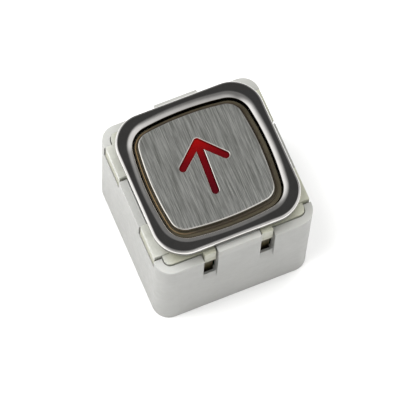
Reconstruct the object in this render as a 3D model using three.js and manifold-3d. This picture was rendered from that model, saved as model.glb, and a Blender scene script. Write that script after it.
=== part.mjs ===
// A square, illuminated lift call push button with an up arrow, as a panel-mounted module.
// Millimetres. The origin is the centre of the housing's flat rear face, +Z points out of the
// button's face towards the person who presses it, and +Y is the way the arrow points.
import * as THREE from 'three';
import { mergeVertices } from 'three/addons/utils/BufferGeometryUtils.js';
import Module from 'manifold-3d';

const wasm = await Module();
wasm.setup();

// ---- Driving dimensions ----

const BEZEL_WIDTH = 38;
const FACE_Z = 38; // the pressel's face and the bezel's flange, above the rear face

// ---- Pressel, channel and bezel: one family of offset outlines ----

const PRESSEL_HALF = 14.25; // at the middle of a side
const PRESSEL_CORNER = 4;
const PRESSEL_SIDE_RADIUS = 70; // each side is a shallow outward arc
const PRESSEL_THICK = 1.6;
const PRESSEL_EDGE = 0.25; // chamfer round the face
const PRESSEL_SHIFT = { x: -0.35, y: 0.2 }; // the plate sits a little off the middle of its carrier
const CHANNEL_WIDTH = 1.75; // open moat between the pressel and the bezel
const COLLAR_THICK = 0.5;
const ROLL_WIDTH = 1.8; // bend from the bezel's flange down to the collar's lip
const ROLL_SWEEP = 38; // degrees turned by that bend
const ROLL_STEPS = 4;
const BEZEL_CORNER = 8;
const BEZEL_EDGE = 0.45; // rounding of the outer edge
const BEZEL_THICK = 1.9;
const COLLAR_DEPTH = 4.4; // how far the collar reaches below the flange's face
const BEZEL_UNDER_Z = FACE_Z - BEZEL_THICK;

// ---- Rear housing ----

const WALL_DRAFT = 0.0057; // outward lean of the outer walls, mm per mm
const HOUSING_HALF = 20.35; // at the rear face
const HOUSING_CORNER = 4.2;
const CAVITY_HALF = 18.5;
const CAVITY_CORNER = 1.8;
const FLOOR_THICK = 2;
const RIM_Z = 32.2; // top of the solid corners
const TONGUE_TOP_Z = 35.2; // the springy tongues stand above the rim
const TONGUE_HALF = 5.6;
const SLOT_WIDTH = 3.7;
const SLOT_BOTTOM_Z = 21.2;
const SLOT_BOTTOM_RADIUS = 0.9;
const SCOOP_DEPTH = 0.6; // shallow hollow in the wall under each slot
const SCOOP_LENGTH = 2.8;
const RELIEF_DEPTH = 0.7; // groove down the inside of the wall under each slot
const RELIEF_LENGTH = 2.4;
const NOTCH_INNER = 6.3; // side notches, distance of their two ends from the middle
const NOTCH_OUTER = 15.8;
const NOTCH_BOTTOM_Z = 28;
const WINDOW = { x: 13, y: 8.6 }; // connector window in the floor
const CONNECTOR_Y = -10.6;

// ---- Circuit board and its bosses ----

const BOARD_HALF = 16.9;
const BOARD_CORNER = 1.2;
const BOARD_THICK = 1.6;
const BOARD_BOTTOM_Z = 13.5;
const BOARD_TOP_Z = BOARD_BOTTOM_Z + BOARD_THICK;
const SEAT_GAP = 0.05; // rest gap between stacked pieces
const BOSS_OFFSET = 13.9;
const BOSS_RADIUS = 2.6;
const BOSS_RIB = 1.2;
const SCREW = {
  head: 2,
  headHeight: 1.4,
  crown: 1.4, // flat top of the head
  headEdge: 0.5, // height of the slope round that top
  shank: 1,
  tip: 0.4,
  length: 7.2,
  slot: 0.5,
  slotArm: 1.3,
  slotDepth: 0.6,
};
const SCREW_CLEARANCE = 0.15;
const HOLE_CLEARANCE = 0.3;

// ---- Inner frame ----

const FRAME_HALF = 18.1;
const FRAME_CORNER = 1.4;
const FRAME_BOTTOM_Z = 24;
const FRAME_LEDGE_Z = 33;
const NECK_HALF = 17.6;
const NECK_CORNER = 6.6;
const FRAME_WALL_OFFSET = 2.65; // offset of the frame's opening from the pressel's outline
const SHELF_BOTTOM_Z = 25.5;
const SHELF_TOP_Z = 27.5;
const SHELF_HOLE_RADIUS = 12.4;
const FIT_GAP = 0.35; // gap between the frame's lugs and the housing's slots
const LUG_DEPTH_HALF = 19.6;
const LUG_BOTTOM_Z = 29.3;
const LUG_TOP_Z = 34.4;
const ARM_BOTTOM_Z = 17; // snap arms that hang from the frame behind the slots
const ARM_THICK = 0.8;
const SIDE_LUG_HALF = 20.05;
const SIDE_LUG_TOP_Z = 33.6;

// ---- Button carrier ----

const CARRIER_OFFSET = 1.3; // offset of the carrier's plate from the pressel's outline
const CARRIER_TOP_Z = FACE_Z - PRESSEL_THICK - SEAT_GAP;
const CARRIER_BOTTOM_Z = 34.4;
const SKIRT_RADIUS = 12;
const SKIRT_THICK = 1.1;
const SKIRT_BOTTOM_Z = 24.4;
const HOOK = { reach: 1.1, width: 3.2, height: 1, slit: 0.8, slitHeight: 6.5 };
const STEM_RADIUS = 1.6;
const SPRING_OFFSET = 11.9;
const SPRING_POST_RADIUS = 1;
const SPRING_POST_HEIGHT = 3.2;
const SPRING_SEAT_HEIGHT = 1.1;
const SPRING = { coil: 1.55, wire: 0.2, turns: 5, stepsPerTurn: 10, sides: 6 };

// ---- Arrow ----

const ARROW_TIP_Y = 6.75;
const ARROW_TAIL_Y = -6.55;
const ARM_REACH = 5.5; // sideways and downward run of each arm, at 45 degrees
const STROKE_RADIUS = 0.78;
const ARROW_LEAN = -3; // degrees, clockwise seen from the front
const INSERT_GAP = 0.08;
const INSERT_RECESS = 0.3;

// ---- Snap-action switch ----

const SWITCH = {
  x: 12.8,
  y: 5.8,
  wall: 1,
  baseHeight: 3.4,
  coverHeight: 3,
  roof: 0.8,
  pocket: 2.1,
  hole: 1.35,
};
const PLUNGER_RADIUS = 1.1;
const PLUNGER_FLANGE_RADIUS = 1.7;
const PLUNGER_FLANGE = 0.6;
const PLUNGER_STANDOUT = 1.2;
const PLUNGER_NOSE = 0.4; // height of the taper at its tip
const TERMINAL = { x: 0.6, y: 1.3, pitch: 5.08, length: 3.1 };
const SWITCH_BASE_Z = BOARD_TOP_Z + SEAT_GAP;
const SWITCH_SPLIT_Z = SWITCH_BASE_Z + SWITCH.baseHeight;
const SWITCH_TOP_Z = SWITCH_SPLIT_Z + SEAT_GAP + SWITCH.coverHeight;
const PLUNGER_TOP_Z = SWITCH_TOP_Z + PLUNGER_STANDOUT;
const STEM_BOTTOM_Z = PLUNGER_TOP_Z + SEAT_GAP * 2;

// ---- Lamps, resistors and connector ----

const LED = {
  radius: 1.5,
  flange: 1.9,
  flangeHeight: 1,
  bodyHeight: 4,
  leg: 0.5,
  pitch: 2.54,
  legLength: 2.8,
};
const LED_OFFSET = 6.5;
const RESISTOR = {
  radius: 0.95,
  waist: 0.8,
  length: 4,
  cap: 1,
  neck: 1.2, // from the end of the body to the waist
  lead: 0.28,
  bend: 0.8,
  pitch: 8.4,
  rise: 1.1,
  legLength: 2.6,
};
const RESISTOR_ROWS = [10.4, 13.4];
const HEADER = { x: 10.2, y: 5.8, base: 3.2, lockThick: 1, lockHeight: 8.8 };
const PIN = { width: 0.64, pitch: 2.54, count: 4, top: 1.4, bottomZ: 4.3 };

const ROUND_STEPS = 24; // sides of a round post or hole
const FINE_STEPS = 48; // sides of the large round skirt and its hole
const SMALL_STEPS = 12; // sides of thin posts
const CORNER_STEPS = 4; // half the steps of a quarter-round corner
const EDGE_STEPS = 3; // steps of the bezel's rounded outer edge
const LEAD_SIDES = 6;
const LEAD_STEPS = 14; // along a bent resistor lead
const OVER = 1; // how far a cutter runs past the face it cuts
const BURY = 0.5; // how far a joined solid reaches into the one it stands on
const FAR = 99; // beyond every part of the object

// ---- Solids ----

function toSolid(geometry) {
  const plain = geometry.clone();
  plain.deleteAttribute('normal');
  plain.deleteAttribute('uv');
  const merged = mergeVertices(plain, 1e-4);
  return new wasm.Manifold(new wasm.Mesh({
    numProp: 3,
    vertProperties: new Float32Array(merged.attributes.position.array),
    triVerts: new Uint32Array(merged.index.array),
  }));
}

function toGeometry(solid) {
  const mesh = solid.getMesh();
  const geometry = new THREE.BufferGeometry();
  geometry.setAttribute('position', new THREE.BufferAttribute(mesh.vertProperties, 3));
  geometry.setIndex(new THREE.BufferAttribute(mesh.triVerts, 1));
  geometry.computeVertexNormals();
  return geometry;
}

// A flat outline raised between two heights.
function raise(shape, z0, z1) {
  const geometry = new THREE.ExtrudeGeometry(shape, {
    depth: z1 - z0,
    bevelEnabled: false,
    curveSegments: CORNER_STEPS,
  });
  geometry.translate(0, 0, z0);
  return toSolid(geometry);
}

// The same, with the top edge rounded.
function raiseRounded(shape, z0, z1, edge, steps) {
  const buried = edge * 2;
  const geometry = new THREE.ExtrudeGeometry(shape, {
    depth: z1 - z0 + buried - edge,
    bevelEnabled: true,
    bevelThickness: edge,
    bevelSize: edge,
    bevelOffset: -edge,
    bevelSegments: steps,
    curveSegments: CORNER_STEPS,
  });
  geometry.translate(0, 0, z0 - buried);
  return toSolid(geometry).subtract(block([-FAR, FAR], [-FAR, FAR], [z0 - FAR, z0]));
}

function block([x0, x1], [y0, y1], [z0, z1]) {
  const geometry = new THREE.BoxGeometry(x1 - x0, y1 - y0, z1 - z0);
  geometry.translate((x0 + x1) / 2, (y0 + y1) / 2, (z0 + z1) / 2);
  return toSolid(geometry);
}

const centred = (width) => [-width / 2, width / 2];

function post(radius, x, y, z0, z1, steps = ROUND_STEPS) {
  const geometry = new THREE.CylinderGeometry(radius, radius, z1 - z0, steps);
  geometry.rotateX(Math.PI / 2);
  geometry.translate(x, y, (z0 + z1) / 2);
  return toSolid(geometry);
}

// A profile of [radius, height] points turned about the Z axis.
function turned(profile, steps = ROUND_STEPS) {
  const points = profile.map(([radius, height]) => new THREE.Vector2(radius, height));
  const geometry = new THREE.LatheGeometry(points, steps);
  geometry.rotateX(Math.PI / 2);
  return toSolid(geometry);
}

function joinAll(solids) {
  return solids.reduce((whole, piece) => whole.add(piece));
}

function cutAll(solid, cutters) {
  return cutters.reduce((whole, cutter) => whole.subtract(cutter), solid);
}

// Every pairing of + and -, for what repeats at the four corners.
const CORNERS = [[1, 1], [-1, 1], [-1, -1], [1, -1]];
const BOTH_SIDES = [1, -1];

// ---- Outlines ----

function roundedSquare(half, radius) {
  const inner = half - radius;
  const shape = new THREE.Shape();
  CORNERS.forEach(([sx, sy], corner) => {
    const start = corner * Math.PI / 2;
    shape.absarc(sx * inner, sy * inner, radius, start, start + Math.PI / 2, false);
  });
  shape.closePath();
  return shape;
}

// A square with rounded corners whose sides are shallow outward arcs, grown by offset.
function softSquare(offset) {
  const half = PRESSEL_HALF + offset;
  const corner = PRESSEL_CORNER + offset;
  const side = PRESSEL_SIDE_RADIUS + offset;
  const sideCentre = half - side;
  const reach = side - corner;
  const centre = (sideCentre + Math.sqrt(2 * reach * reach - sideCentre * sideCentre)) / 2;
  const spread = Math.asin(centre / reach);
  const shape = new THREE.Shape();
  for (let quarter = 0; quarter < 4; quarter += 1) {
    const turn = quarter * Math.PI / 2;
    const [cos, sin] = [Math.cos(turn), Math.sin(turn)];
    shape.absarc(cos * sideCentre, sin * sideCentre, side, turn - spread, turn + spread, false);
    const [cx, cy] = [cos * centre - sin * centre, sin * centre + cos * centre];
    shape.absarc(cx, cy, corner, turn + spread, turn + Math.PI / 2 - spread, false);
  }
  shape.closePath();
  return shape;
}

// A round-ended stroke from one point to another.
function stroke([x0, y0], [x1, y1], radius) {
  const angle = Math.atan2(y1 - y0, x1 - x0);
  const shape = new THREE.Shape();
  shape.absarc(x1, y1, radius, angle - Math.PI / 2, angle + Math.PI / 2, false);
  shape.absarc(x0, y0, radius, angle + Math.PI / 2, angle + Math.PI * 1.5, false);
  shape.closePath();
  return shape;
}

function arrow(radius, z0, z1) {
  const tip = [0, ARROW_TIP_Y];
  const strokes = [
    stroke([0, ARROW_TAIL_Y], tip, radius),
    ...BOTH_SIDES.map((side) => stroke([side * ARM_REACH, ARROW_TIP_Y - ARM_REACH], tip, radius)),
  ];
  return joinAll(strokes.map((shape) => raise(shape, z0, z1))).rotate([0, 0, ARROW_LEAN]);
}

// ---- Rear housing ----

function draftedBody() {
  const geometry = new THREE.ExtrudeGeometry(roundedSquare(HOUSING_HALF, HOUSING_CORNER), {
    depth: TONGUE_TOP_Z,
    bevelEnabled: false,
    curveSegments: CORNER_STEPS,
  });
  const position = geometry.attributes.position;
  for (let i = 0; i < position.count; i += 1) {
    const grow = 1 + WALL_DRAFT * position.getZ(i) / HOUSING_HALF;
    position.setXY(i, position.getX(i) * grow, position.getY(i) * grow);
  }
  return toSolid(geometry);
}

// Outline of a slot in the X-Z plane, open at the top, with a round-cornered bottom.
function slotCutter(side) {
  const r = SLOT_BOTTOM_RADIUS;
  const low = side > 0 ? TONGUE_HALF : -TONGUE_HALF - SLOT_WIDTH;
  const high = low + SLOT_WIDTH;
  const shape = new THREE.Shape();
  shape.moveTo(high, TONGUE_TOP_Z + OVER);
  shape.lineTo(low, TONGUE_TOP_Z + OVER);
  shape.absarc(low + r, SLOT_BOTTOM_Z + r, r, Math.PI, Math.PI * 1.5, false);
  shape.absarc(high - r, SLOT_BOTTOM_Z + r, r, Math.PI * 1.5, Math.PI * 2, false);
  shape.closePath();
  const geometry = new THREE.ExtrudeGeometry(shape, {
    depth: HOUSING_HALF * 4,
    bevelEnabled: false,
    curveSegments: CORNER_STEPS,
  });
  geometry.rotateX(Math.PI / 2);
  geometry.translate(0, HOUSING_HALF * 2, 0);
  return toSolid(geometry);
}

// A wedge that thins the outside of the wall just under a slot.
function scoopCutter(side, front) {
  const wallY = HOUSING_HALF + WALL_DRAFT * SLOT_BOTTOM_Z;
  const shape = new THREE.Shape();
  shape.moveTo(wallY + OVER, SLOT_BOTTOM_Z - SCOOP_LENGTH);
  shape.lineTo(wallY + OVER, SLOT_BOTTOM_Z + OVER);
  shape.lineTo(wallY - SCOOP_DEPTH, SLOT_BOTTOM_Z + OVER);
  shape.lineTo(wallY - SCOOP_DEPTH, SLOT_BOTTOM_Z);
  shape.lineTo(wallY, SLOT_BOTTOM_Z - SCOOP_LENGTH);
  shape.closePath();
  const geometry = new THREE.ExtrudeGeometry(shape, { depth: SLOT_WIDTH, bevelEnabled: false });
  geometry.rotateX(Math.PI / 2);
  geometry.rotateZ(Math.PI / 2);
  geometry.translate(side * (TONGUE_HALF + SLOT_WIDTH / 2) - SLOT_WIDTH / 2, 0, 0);
  if (front < 0) geometry.rotateZ(Math.PI);
  return toSolid(geometry);
}

// A groove that leaves only a thin skin of wall below a slot.
function reliefCutter(side, front) {
  const middle = side * (TONGUE_HALF + SLOT_WIDTH / 2);
  const half = (SLOT_WIDTH - SLOT_BOTTOM_RADIUS) / 2;
  const across = [CAVITY_HALF - OVER, CAVITY_HALF + RELIEF_DEPTH].map((y) => front * y).sort((a, b) => a - b);
  return block([middle - half, middle + half], across, [SLOT_BOTTOM_Z - RELIEF_LENGTH, SLOT_BOTTOM_Z + OVER]);
}

function bossWithRibs([sx, sy]) {
  const [x, y] = [sx * BOSS_OFFSET, sy * BOSS_OFFSET];
  const top = BOARD_BOTTOM_Z - SEAT_GAP;
  const ribTop = top - BOSS_RIB;
  const wall = CAVITY_HALF + BURY;
  const across = (v) => [v - BOSS_RIB / 2, v + BOSS_RIB / 2];
  const outward = (s) => (s > 0 ? [BOSS_OFFSET, wall] : [-wall, -BOSS_OFFSET]);
  return joinAll([
    post(BOSS_RADIUS, x, y, FLOOR_THICK - BURY, top),
    block(outward(sx), across(y), [FLOOR_THICK - BURY, ribTop]),
    block(across(x), outward(sy), [FLOOR_THICK - BURY, ribTop]),
  ]);
}

function rearHousing() {
  const clearTop = TONGUE_TOP_Z + OVER;
  const cavity = raise(roundedSquare(CAVITY_HALF, CAVITY_CORNER), FLOOR_THICK, clearTop);
  const wide = [-FAR, FAR];
  const aboveRim = block(wide, wide, [RIM_Z, clearTop])
    .subtract(block([-TONGUE_HALF, TONGUE_HALF], wide, [RIM_Z - OVER, clearTop + OVER]));
  const notches = BOTH_SIDES.map((side) => {
    const along = side > 0 ? [NOTCH_INNER, NOTCH_OUTER] : [-NOTCH_OUTER, -NOTCH_INNER];
    return block(wide, along, [NOTCH_BOTTOM_Z, clearTop]);
  });
  const window = block(
    [-WINDOW.x / 2, WINDOW.x / 2],
    [CONNECTOR_Y - WINDOW.y / 2, CONNECTOR_Y + WINDOW.y / 2],
    [-OVER, FLOOR_THICK + OVER],
  );
  const underSlots = BOTH_SIDES.flatMap((side) => BOTH_SIDES.flatMap((front) => (
    [scoopCutter(side, front), reliefCutter(side, front)]
  )));
  const shell = cutAll(draftedBody(), [
    cavity,
    aboveRim,
    ...BOTH_SIDES.map(slotCutter),
    ...underSlots,
    ...notches,
    window,
  ]);
  const pilot = SCREW.shank + SCREW_CLEARANCE;
  const pilotBottom = BOARD_TOP_Z - SCREW.length - BURY;
  const pilots = CORNERS.map(([sx, sy]) => (
    post(pilot, sx * BOSS_OFFSET, sy * BOSS_OFFSET, pilotBottom, BOARD_TOP_Z)
  ));
  return cutAll(joinAll([shell, ...CORNERS.map(bossWithRibs)]), pilots);
}

// ---- Inner frame ----

function innerFrame() {
  const body = raise(roundedSquare(FRAME_HALF, FRAME_CORNER), FRAME_BOTTOM_Z, FRAME_LEDGE_Z);
  const neckTop = BEZEL_UNDER_Z - SEAT_GAP;
  const neck = raise(roundedSquare(NECK_HALF, NECK_CORNER), FRAME_LEDGE_Z - BURY, neckTop);
  const lugInner = TONGUE_HALF + FIT_GAP;
  const lugOuter = TONGUE_HALF + SLOT_WIDTH - FIT_GAP;
  const lugs = BOTH_SIDES.map((side) => block(
    side > 0 ? [lugInner, lugOuter] : [-lugOuter, -lugInner],
    [-LUG_DEPTH_HALF, LUG_DEPTH_HALF],
    [LUG_BOTTOM_Z, LUG_TOP_Z],
  ));
  const arms = BOTH_SIDES.flatMap((side) => BOTH_SIDES.map((front) => block(
    side > 0 ? [lugInner, lugOuter] : [-lugOuter, -lugInner],
    front > 0 ? [FRAME_HALF - ARM_THICK, FRAME_HALF] : [-FRAME_HALF, ARM_THICK - FRAME_HALF],
    [ARM_BOTTOM_Z, FRAME_BOTTOM_Z + BURY],
  )));
  const sideInner = NOTCH_INNER + FIT_GAP;
  const sideOuter = NOTCH_OUTER - FIT_GAP;
  const sideLugs = BOTH_SIDES.map((side) => block(
    [-SIDE_LUG_HALF, SIDE_LUG_HALF],
    side > 0 ? [sideInner, sideOuter] : [-sideOuter, -sideInner],
    [NOTCH_BOTTOM_Z + SEAT_GAP, SIDE_LUG_TOP_Z],
  ));
  const seats = CORNERS.map(([sx, sy]) => post(
    SPRING_POST_RADIUS,
    sx * SPRING_OFFSET,
    sy * SPRING_OFFSET,
    SHELF_TOP_Z - BURY,
    SHELF_TOP_Z + SPRING_SEAT_HEIGHT,
    SMALL_STEPS,
  ));
  const opening = raise(softSquare(FRAME_WALL_OFFSET), SHELF_TOP_Z, FACE_Z);
  const hole = post(SHELF_HOLE_RADIUS, 0, 0, FRAME_BOTTOM_Z - OVER, SHELF_TOP_Z + OVER, FINE_STEPS);
  const pocketHalf = PRESSEL_HALF + FRAME_WALL_OFFSET;
  const pocket = raise(roundedSquare(pocketHalf, FRAME_CORNER), FRAME_BOTTOM_Z - OVER, SHELF_BOTTOM_Z);
  const shell = cutAll(joinAll([body, neck, ...lugs, ...sideLugs]), [opening, hole, pocket]);
  return joinAll([shell, ...arms, ...seats]);
}

// ---- Bezel ----

// One slice of the flare over the bend: it widens from one offset outline to the next, then goes
// straight up and out.
function flareSlice([inner, low], [outer, high]) {
  const grow = outer - inner;
  const geometry = new THREE.ExtrudeGeometry(softSquare(outer), {
    depth: BURY,
    bevelEnabled: true,
    bevelThickness: high - low,
    bevelSize: grow,
    bevelOffset: -grow,
    bevelSegments: 1,
    curveSegments: CORNER_STEPS,
  });
  geometry.translate(0, 0, high);
  return toSolid(geometry).add(raise(softSquare(outer), high, FACE_Z + OVER));
}

function bezelRing() {
  const collarBottom = FACE_Z - COLLAR_DEPTH;
  const flange = raiseRounded(
    roundedSquare(BEZEL_WIDTH / 2, BEZEL_CORNER), BEZEL_UNDER_Z, FACE_Z, BEZEL_EDGE, EDGE_STEPS,
  );
  const collar = raise(softSquare(CHANNEL_WIDTH + COLLAR_THICK), collarBottom, FACE_Z - BEZEL_EDGE);
  const opening = raise(softSquare(CHANNEL_WIDTH), collarBottom - OVER, FACE_Z + OVER);
  const sweep = THREE.MathUtils.degToRad(ROLL_SWEEP);
  const radius = ROLL_WIDTH / Math.sin(sweep);
  const bend = [...Array(ROLL_STEPS + 1).keys()].map((step) => {
    const angle = sweep * step / ROLL_STEPS;
    const offset = CHANNEL_WIDTH + ROLL_WIDTH - radius * Math.sin(angle);
    return [offset, FACE_Z - radius * (1 - Math.cos(angle))];
  });
  const flares = bend.slice(1).map((point, step) => flareSlice(point, bend[step]));
  return cutAll(joinAll([flange, collar]), [opening, ...flares]);
}

// ---- Pressel, arrow and carrier ----

function presselPlate() {
  const bottom = FACE_Z - PRESSEL_THICK;
  const plate = raiseRounded(softSquare(0), bottom, FACE_Z, PRESSEL_EDGE, 1);
  return plate.subtract(arrow(STROKE_RADIUS, bottom - OVER, FACE_Z + OVER));
}

function arrowInsert() {
  return arrow(STROKE_RADIUS - INSERT_GAP, CARRIER_TOP_Z + SEAT_GAP, FACE_Z - INSERT_RECESS);
}

// The springy hooks at the skirt's lower edge, with the slits that let them bend.
function hookPieces(quarter) {
  const outer = SKIRT_RADIUS + HOOK.reach;
  const half = HOOK.width / 2;
  const hook = block(
    [SKIRT_RADIUS - SKIRT_THICK / 2, outer],
    [-half, half],
    [SKIRT_BOTTOM_Z, SKIRT_BOTTOM_Z + HOOK.height],
  );
  const slits = BOTH_SIDES.map((side) => block(
    [SKIRT_RADIUS - SKIRT_THICK * 2, SKIRT_RADIUS + OVER],
    side > 0 ? [half, half + HOOK.slit] : [-half - HOOK.slit, -half],
    [SKIRT_BOTTOM_Z - OVER, SKIRT_BOTTOM_Z + HOOK.slitHeight],
  ));
  const turn = [0, 0, quarter * 90];
  return { hook: hook.rotate(turn), slits: slits.map((slit) => slit.rotate(turn)) };
}

function buttonCarrier() {
  const plate = raise(softSquare(CARRIER_OFFSET), CARRIER_BOTTOM_Z, CARRIER_TOP_Z);
  const buried = CARRIER_BOTTOM_Z + BURY;
  const bore = SKIRT_RADIUS - SKIRT_THICK;
  const skirt = post(SKIRT_RADIUS, 0, 0, SKIRT_BOTTOM_Z, buried, FINE_STEPS)
    .subtract(post(bore, 0, 0, SKIRT_BOTTOM_Z - OVER, CARRIER_BOTTOM_Z, FINE_STEPS));
  const hooks = [0, 1, 2, 3].map(hookPieces);
  const posts = CORNERS.map(([sx, sy]) => post(
    SPRING_POST_RADIUS,
    sx * SPRING_OFFSET,
    sy * SPRING_OFFSET,
    CARRIER_BOTTOM_Z - SPRING_POST_HEIGHT,
    buried,
    SMALL_STEPS,
  ));
  const stem = post(STEM_RADIUS, 0, 0, STEM_BOTTOM_Z, buried);
  const slitSkirt = cutAll(skirt, hooks.flatMap((piece) => piece.slits));
  return joinAll([plate, slitSkirt, ...hooks.map((piece) => piece.hook), ...posts, stem]);
}

// ---- Return springs ----

class Helix extends THREE.Curve {
  constructor(radius, height, turns) {
    super();
    Object.assign(this, { radius, height, turns });
  }

  getPoint(t, target = new THREE.Vector3()) {
    const angle = t * this.turns * Math.PI * 2;
    return target.set(this.radius * Math.cos(angle), this.radius * Math.sin(angle), this.height * t);
  }
}

function polygon(radius, sides) {
  const shape = new THREE.Shape();
  for (let i = 0; i < sides; i += 1) {
    const angle = i / sides * Math.PI * 2;
    const point = [radius * Math.cos(angle), radius * Math.sin(angle)];
    if (i === 0) shape.moveTo(...point);
    else shape.lineTo(...point);
  }
  shape.closePath();
  return shape;
}

function returnSpring() {
  const endGap = SPRING.wire + SEAT_GAP;
  const height = CARRIER_BOTTOM_Z - SHELF_TOP_Z - endGap * 2;
  const geometry = new THREE.ExtrudeGeometry(polygon(SPRING.wire, SPRING.sides), {
    steps: SPRING.turns * SPRING.stepsPerTurn,
    bevelEnabled: false,
    extrudePath: new Helix(SPRING.coil, height, SPRING.turns),
  });
  geometry.translate(0, 0, SHELF_TOP_Z + endGap);
  return toSolid(geometry);
}

// ---- Circuit board and what stands on it ----

function squareHole(x, y, half) {
  const through = [BOARD_BOTTOM_Z - OVER, BOARD_TOP_Z + OVER];
  return block([x - half, x + half], [y - half, y + half], through);
}

const pinX = (index) => (index - (PIN.count - 1) / 2) * PIN.pitch;
const TERMINAL_X = [-TERMINAL.pitch, 0, TERMINAL.pitch];

function circuitBoard() {
  const board = raise(roundedSquare(BOARD_HALF, BOARD_CORNER), BOARD_BOTTOM_Z, BOARD_TOP_Z);
  const screwHoles = CORNERS.map(([sx, sy]) => post(
    SCREW.shank + HOLE_CLEARANCE,
    sx * BOSS_OFFSET,
    sy * BOSS_OFFSET,
    BOARD_BOTTOM_Z - OVER,
    BOARD_TOP_Z + OVER,
    SMALL_STEPS,
  ));
  const pinHoles = [...Array(PIN.count).keys()].map((index) => (
    squareHole(pinX(index), CONNECTOR_Y, PIN.width / 2 + HOLE_CLEARANCE)
  ));
  const terminalHoles = TERMINAL_X.map((x) => squareHole(x, 0, TERMINAL.y / 2 + HOLE_CLEARANCE));
  const ledHoles = CORNERS.flatMap(([sx, sy]) => BOTH_SIDES.map((side) => squareHole(
    sx * LED_OFFSET + side * LED.pitch / 2, sy * LED_OFFSET, LED.leg / 2 + HOLE_CLEARANCE,
  )));
  const resistorHoles = RESISTOR_ROWS.flatMap((y) => BOTH_SIDES.map((side) => (
    squareHole(side * RESISTOR.pitch / 2, y, RESISTOR.lead + HOLE_CLEARANCE)
  )));
  return cutAll(board, [...screwHoles, ...pinHoles, ...terminalHoles, ...ledHoles, ...resistorHoles]);
}

function led() {
  const bottom = BOARD_TOP_Z + SEAT_GAP;
  const shoulder = bottom + LED.bodyHeight;
  const dome = [30, 60].map((degrees) => {
    const angle = degrees * Math.PI / 180;
    return [LED.radius * Math.cos(angle), shoulder + LED.radius * Math.sin(angle)];
  });
  const lens = turned([
    [0, bottom],
    [LED.flange, bottom],
    [LED.flange, bottom + LED.flangeHeight],
    [LED.radius, bottom + LED.flangeHeight],
    [LED.radius, shoulder],
    ...dome,
    [0, shoulder + LED.radius],
  ]);
  const half = LED.leg / 2;
  const legs = BOTH_SIDES.map((side) => block(
    [side * LED.pitch / 2 - half, side * LED.pitch / 2 + half],
    [-half, half],
    [bottom - LED.legLength, bottom + BURY],
  ));
  return joinAll([lens, ...legs]);
}

// The bent lead of a resistor, from inside its body out and down through the board.
function resistorLead(side, axisZ) {
  const start = side * (RESISTOR.length / 2 - BURY);
  const end = side * RESISTOR.pitch / 2;
  const beforeBend = new THREE.Vector3(end - side * RESISTOR.bend, 0, axisZ);
  const afterBend = new THREE.Vector3(end, 0, axisZ - RESISTOR.bend);
  const tip = new THREE.Vector3(end, 0, BOARD_TOP_Z - RESISTOR.legLength);
  const path = new THREE.CurvePath();
  path.add(new THREE.LineCurve3(new THREE.Vector3(start, 0, axisZ), beforeBend));
  path.add(new THREE.QuadraticBezierCurve3(beforeBend, new THREE.Vector3(end, 0, axisZ), afterBend));
  path.add(new THREE.LineCurve3(afterBend, tip));
  const geometry = new THREE.ExtrudeGeometry(polygon(RESISTOR.lead, LEAD_SIDES), {
    steps: LEAD_STEPS,
    bevelEnabled: false,
    extrudePath: path,
  });
  return toSolid(geometry);
}

function resistor() {
  const half = RESISTOR.length / 2;
  const axisZ = BOARD_TOP_Z + RESISTOR.rise;
  const body = turned([
    [0, -half],
    [RESISTOR.radius, -half],
    [RESISTOR.radius, -half + RESISTOR.cap],
    [RESISTOR.waist, -half + RESISTOR.neck],
    [RESISTOR.waist, half - RESISTOR.neck],
    [RESISTOR.radius, half - RESISTOR.cap],
    [RESISTOR.radius, half],
    [0, half],
  ], SMALL_STEPS).rotate([0, 90, 0]).translate([0, 0, axisZ]);
  return joinAll([body, ...BOTH_SIDES.map((side) => resistorLead(side, axisZ))]);
}

function boardScrew() {
  const seat = BOARD_TOP_Z + SEAT_GAP;
  const top = seat + SCREW.headHeight;
  const tip = seat - SCREW.length;
  const body = turned([
    [0, tip],
    [SCREW.tip, tip],
    [SCREW.shank, tip + SCREW.shank],
    [SCREW.shank, seat],
    [SCREW.head, seat],
    [SCREW.head, top - SCREW.headEdge],
    [SCREW.crown, top],
    [0, top],
  ], SMALL_STEPS);
  const along = [-SCREW.slotArm, SCREW.slotArm];
  const across = [-SCREW.slot / 2, SCREW.slot / 2];
  const depth = [top - SCREW.slotDepth, top + OVER];
  return cutAll(body, [block(along, across, depth), block(across, along, depth)]);
}

// ---- Switch ----

function switchBase() {
  const recess = block(
    centred(SWITCH.x - SWITCH.wall * 2),
    centred(SWITCH.y - SWITCH.wall * 2),
    [SWITCH_SPLIT_Z - OVER, SWITCH_SPLIT_Z + OVER],
  );
  return block(centred(SWITCH.x), centred(SWITCH.y), [SWITCH_BASE_Z, SWITCH_SPLIT_Z]).subtract(recess);
}

function switchCover() {
  const bottom = SWITCH_SPLIT_Z + SEAT_GAP;
  return cutAll(block(centred(SWITCH.x), centred(SWITCH.y), [bottom, SWITCH_TOP_Z]), [
    post(SWITCH.pocket, 0, 0, bottom - OVER, SWITCH_TOP_Z - SWITCH.roof),
    post(SWITCH.hole, 0, 0, bottom, SWITCH_TOP_Z + OVER),
  ]);
}

function switchPlunger() {
  const flangeTop = SWITCH_TOP_Z - SWITCH.roof - SEAT_GAP;
  return turned([
    [0, flangeTop - PLUNGER_FLANGE],
    [PLUNGER_FLANGE_RADIUS, flangeTop - PLUNGER_FLANGE],
    [PLUNGER_FLANGE_RADIUS, flangeTop],
    [PLUNGER_RADIUS, flangeTop],
    [PLUNGER_RADIUS, PLUNGER_TOP_Z - PLUNGER_NOSE],
    [PLUNGER_RADIUS - PLUNGER_NOSE, PLUNGER_TOP_Z],
    [0, PLUNGER_TOP_Z],
  ]);
}

function switchTerminal() {
  return block(centred(TERMINAL.x), centred(TERMINAL.y), [BOARD_TOP_Z - TERMINAL.length, BOARD_TOP_Z]);
}

// ---- Connector ----

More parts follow.
